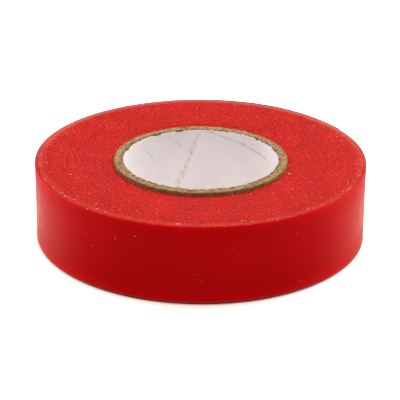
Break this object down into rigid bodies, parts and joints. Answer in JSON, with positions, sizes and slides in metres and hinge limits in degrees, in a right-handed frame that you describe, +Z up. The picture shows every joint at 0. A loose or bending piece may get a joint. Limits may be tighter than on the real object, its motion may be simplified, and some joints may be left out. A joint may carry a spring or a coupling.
{
  "type": "electrical tape roll",
  "caption": "Roll of vinyl electrical tape wound on a paperboard core, with a free end that peels off the outermost turn; used to insulate and bind wires.",
  "frame": {"origin": "on the roll's axis, in the plane that the roll stands on", "axes": "+Z up along the roll's axis; +Y towards the side where the free end lies, +X to its right, seen from -Y"},
  "size_m": [0.08, 0.08, 0.0192],
  "materials": {
    "vinyl_film": "gloss",
    "wound_edge": "matte",
    "adhesive": "tacky",
    "chipboard": "matte",
    "liner_paper": "matte"
  },
  "bodies": {
    "roll": {"core_liner": "liner_paper", "core_ply_1": "chipboard", "core_ply_2": "chipboard", "core_ply_3": "chipboard", "core_ply_4": "chipboard", "wound_tape": "wound_edge", "outer_turn_film": "vinyl_film", "outer_turn_adhesive": "adhesive"},
    "tail_01": {"tail_film_01": "vinyl_film", "tail_adhesive_01": "adhesive"},
    "tail_02": {"tail_film_02": "vinyl_film", "tail_adhesive_02": "adhesive"},
    "tail_03": {"tail_film_03": "vinyl_film", "tail_adhesive_03": "adhesive"},
    "tail_04": {"tail_film_04": "vinyl_film", "tail_adhesive_04": "adhesive"},
    "tail_05": {"tail_film_05": "vinyl_film", "tail_adhesive_05": "adhesive"},
    "tail_06": {"tail_film_06": "vinyl_film", "tail_adhesive_06": "adhesive"},
    "tail_07": {"tail_film_07": "vinyl_film", "tail_adhesive_07": "adhesive"},
    "tail_08": {"tail_film_08": "vinyl_film", "tail_adhesive_08": "adhesive"},
    "tail_09": {"tail_film_09": "vinyl_film", "tail_adhesive_09": "adhesive"},
    "tail_10": {"tail_film_10": "vinyl_film", "tail_adhesive_10": "adhesive"},
    "tail_11": {"tail_film_11": "vinyl_film", "tail_adhesive_11": "adhesive"},
    "tail_12": {"tail_film_12": "vinyl_film", "tail_adhesive_12": "adhesive"}
  },
  "joints": [
    {"name": "peel", "type": "hinge", "parent": "roll", "child": "tail_01", "pos_m": [-0.03464, 0.02, 0], "axis": [0, 0, 1], "range_deg": [0, 90]},
    {"name": "curl_02", "type": "hinge", "parent": "tail_01", "child": "tail_02", "pos_m": [-0.03064, 0.02571, 0], "axis": [0, 0, 1], "range_deg": [0, 10]},
    {"name": "curl_03", "type": "hinge", "parent": "tail_02", "child": "tail_03", "pos_m": [-0.02571, 0.03064, 0], "axis": [0, 0, 1], "range_deg": [0, 10]},
    {"name": "curl_04", "type": "hinge", "parent": "tail_03", "child": "tail_04", "pos_m": [-0.02, 0.03464, 0], "axis": [0, 0, 1], "range_deg": [0, 10]},
    {"name": "curl_05", "type": "hinge", "parent": "tail_04", "child": "tail_05", "pos_m": [-0.01368, 0.03759, 0], "axis": [0, 0, 1], "range_deg": [0, 10]},
    {"name": "curl_06", "type": "hinge", "parent": "tail_05", "child": "tail_06", "pos_m": [-0.00695, 0.03939, 0], "axis": [0, 0, 1], "range_deg": [0, 10]},
    {"name": "curl_07", "type": "hinge", "parent": "tail_06", "child": "tail_07", "pos_m": [0, 0.04, 0], "axis": [0, 0, 1], "range_deg": [0, 10]},
    {"name": "curl_08", "type": "hinge", "parent": "tail_07", "child": "tail_08", "pos_m": [0.00695, 0.03939, 0], "axis": [0, 0, 1], "range_deg": [0, 10]},
    {"name": "curl_09", "type": "hinge", "parent": "tail_08", "child": "tail_09", "pos_m": [0.01368, 0.03759, 0], "axis": [0, 0, 1], "range_deg": [0, 10]},
    {"name": "curl_10", "type": "hinge", "parent": "tail_09", "child": "tail_10", "pos_m": [0.02, 0.03464, 0], "axis": [0, 0, 1], "range_deg": [0, 10]},
    {"name": "curl_11", "type": "hinge", "parent": "tail_10", "child": "tail_11", "pos_m": [0.02571, 0.03064, 0], "axis": [0, 0, 1], "range_deg": [0, 10]},
    {"name": "curl_12", "type": "hinge", "parent": "tail_11", "child": "tail_12", "pos_m": [0.03064, 0.02571, 0], "axis": [0, 0, 1], "range_deg": [0, 10]}
  ],
  "couplings": [
    {"joint": "curl_03", "follows": "curl_02", "ratio": 1},
    {"joint": "curl_04", "follows": "curl_02", "ratio": 1},
    {"joint": "curl_05", "follows": "curl_02", "ratio": 1},
    {"joint": "curl_06", "follows": "curl_02", "ratio": 1},
    {"joint": "curl_07", "follows": "curl_02", "ratio": 1},
    {"joint": "curl_08", "follows": "curl_02", "ratio": 1},
    {"joint": "curl_09", "follows": "curl_02", "ratio": 1},
    {"joint": "curl_10", "follows": "curl_02", "ratio": 1},
    {"joint": "curl_11", "follows": "curl_02", "ratio": 1},
    {"joint": "curl_12", "follows": "curl_02", "ratio": 1}
  ]
}
